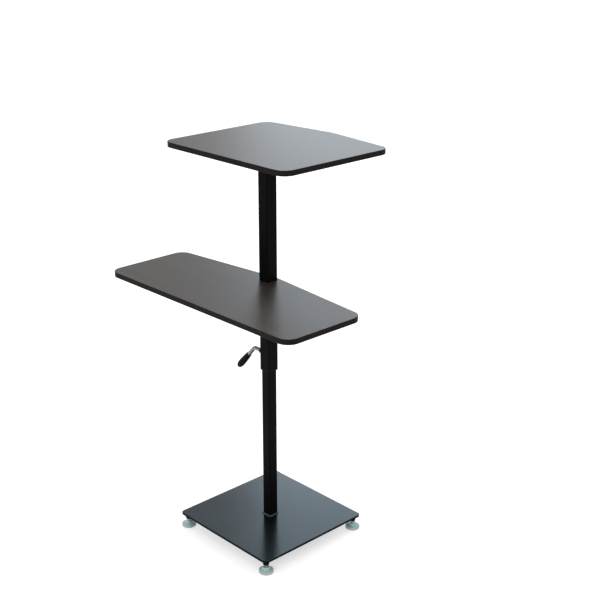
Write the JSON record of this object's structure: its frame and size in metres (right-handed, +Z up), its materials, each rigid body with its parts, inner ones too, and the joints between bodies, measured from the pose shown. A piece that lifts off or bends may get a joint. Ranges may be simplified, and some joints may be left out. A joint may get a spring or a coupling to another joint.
{
  "type": "laptop desk",
  "caption": "Standing laptop desk: square steel base on levelling feet, telescopic square column with a clamp lever, laptop shelf above and a wider keyboard shelf below.",
  "frame": {"origin": "on the floor, under the centre of the overall box; the column's axis is 10.5 mm behind it", "axes": "+Z up along the column, +X to the user's right, +Y from the user to the back"},
  "size_m": [0.6, 0.417, 0.937],
  "materials": {
    "powder_coat": "satin black powder coat",
    "laminate": "satin dark brown laminate on board",
    "edge_band": "satin dark brown edge band",
    "guide_plastic": "moulded black",
    "foot_plastic": "translucent grey-green",
    "zinc_steel": "zinc plated",
    "pad_brass": "turned",
    "lever_chrome": "bright chrome plate",
    "grip_plastic": "finely textured black"
  },
  "bodies": {
    "stand": {"base_plate": "powder_coat", "column_foot_weld": "powder_coat", "foot_weld_nuts": "powder_coat", "foot_nut_welds": "powder_coat", "lower_column_tube": "powder_coat", "column_top_guide": "guide_plastic"},
    "carrier": {"upper_column_tube": "powder_coat", "sleeve_guide_bush": "guide_plastic", "clamp_boss": "powder_coat", "clamp_boss_weld": "powder_coat", "upper_mount_plate": "powder_coat", "upper_mount_spigot": "powder_coat", "upper_spigot_weld": "powder_coat", "spigot_lock_screw": "zinc_steel", "upper_shelf_board": "laminate", "upper_shelf_edge_band": "edge_band", "upper_shelf_screws": "zinc_steel", "lower_bracket_plate": "powder_coat", "lower_bracket_gusset": "powder_coat", "lower_bracket_weld": "powder_coat", "lower_shelf_board": "laminate", "lower_shelf_edge_band": "edge_band", "lower_shelf_screws": "zinc_steel"},
    "clamp_pad": {"clamp_pressure_pad": "pad_brass"},
    "clamp_lever": {"clamp_lever_rod": "lever_chrome", "clamp_grip": "grip_plastic"},
    "foot_front_left": {"foot_pad_front_left": "foot_plastic"},
    "stud_front_left": {"foot_stud_front_left": "zinc_steel"},
    "foot_front_right": {"foot_pad_front_right": "foot_plastic"},
    "stud_front_right": {"foot_stud_front_right": "zinc_steel"},
    "foot_rear_left": {"foot_pad_rear_left": "foot_plastic"},
    "stud_rear_left": {"foot_stud_rear_left": "zinc_steel"},
    "foot_rear_right": {"foot_pad_rear_right": "foot_plastic"},
    "stud_rear_right": {"foot_stud_rear_right": "zinc_steel"}
  },
  "joints": [
    {"name": "column_height", "type": "slide", "parent": "stand", "child": "carrier", "axis": [0, 0, 1], "range_m": [-0.225, 0.14]},
    {"name": "clamp_pad_travel", "type": "slide", "parent": "carrier", "child": "clamp_pad", "axis": [-1, 0, 0], "range_m": [0, 0.00251]},
    {"name": "clamp_lever_turn", "type": "hinge", "parent": "clamp_pad", "child": "clamp_lever", "pos_m": [-0.04, 0.0105, 0.4536], "axis": [-1, 0, 0], "range_deg": [0, 720]},
    {"name": "foot_travel_front_left", "type": "slide", "parent": "stand", "child": "foot_front_left", "axis": [0, 0, -1], "range_m": [-0.005, 0.0025]},
    {"name": "foot_turn_front_left", "type": "hinge", "parent": "foot_front_left", "child": "stud_front_left", "pos_m": [-0.14, -0.1295, 0.02], "axis": [0, 0, -1], "range_deg": [-1442, 722]},
    {"name": "foot_travel_front_right", "type": "slide", "parent": "stand", "child": "foot_front_right", "axis": [0, 0, -1], "range_m": [-0.005, 0.0025]},
    {"name": "foot_turn_front_right", "type": "hinge", "parent": "foot_front_right", "child": "stud_front_right", "pos_m": [0.14, -0.1295, 0.02], "axis": [0, 0, -1], "range_deg": [-1442, 722]},
    {"name": "foot_travel_rear_left", "type": "slide", "parent": "stand", "child": "foot_rear_left", "axis": [0, 0, -1], "range_m": [-0.005, 0.0025]},
    {"name": "foot_turn_rear_left", "type": "hinge", "parent": "foot_rear_left", "child": "stud_rear_left", "pos_m": [-0.14, 0.1505, 0.02], "axis": [0, 0, -1], "range_deg": [-1442, 722]},
    {"name": "foot_travel_rear_right", "type": "slide", "parent": "stand", "child": "foot_rear_right", "axis": [0, 0, -1], "range_m": [-0.005, 0.0025]},
    {"name": "foot_turn_rear_right", "type": "hinge", "parent": "foot_rear_right", "child": "stud_rear_right", "pos_m": [0.14, 0.1505, 0.02], "axis": [0, 0, -1], "range_deg": [-1442, 722]}
  ],
  "couplings": [
    {"joint": "clamp_pad_travel", "follows": "clamp_lever_turn", "m_per_rad": 0.00019894},
    {"joint": "foot_turn_front_left", "follows": "foot_travel_front_left", "rad_per_m": 5026.5},
    {"joint": "foot_turn_front_right", "follows": "foot_travel_front_right", "rad_per_m": 5026.5},
    {"joint": "foot_turn_rear_left", "follows": "foot_travel_rear_left", "rad_per_m": 5026.5},
    {"joint": "foot_turn_rear_right", "follows": "foot_travel_rear_right", "rad_per_m": 5026.5}
  ]
}
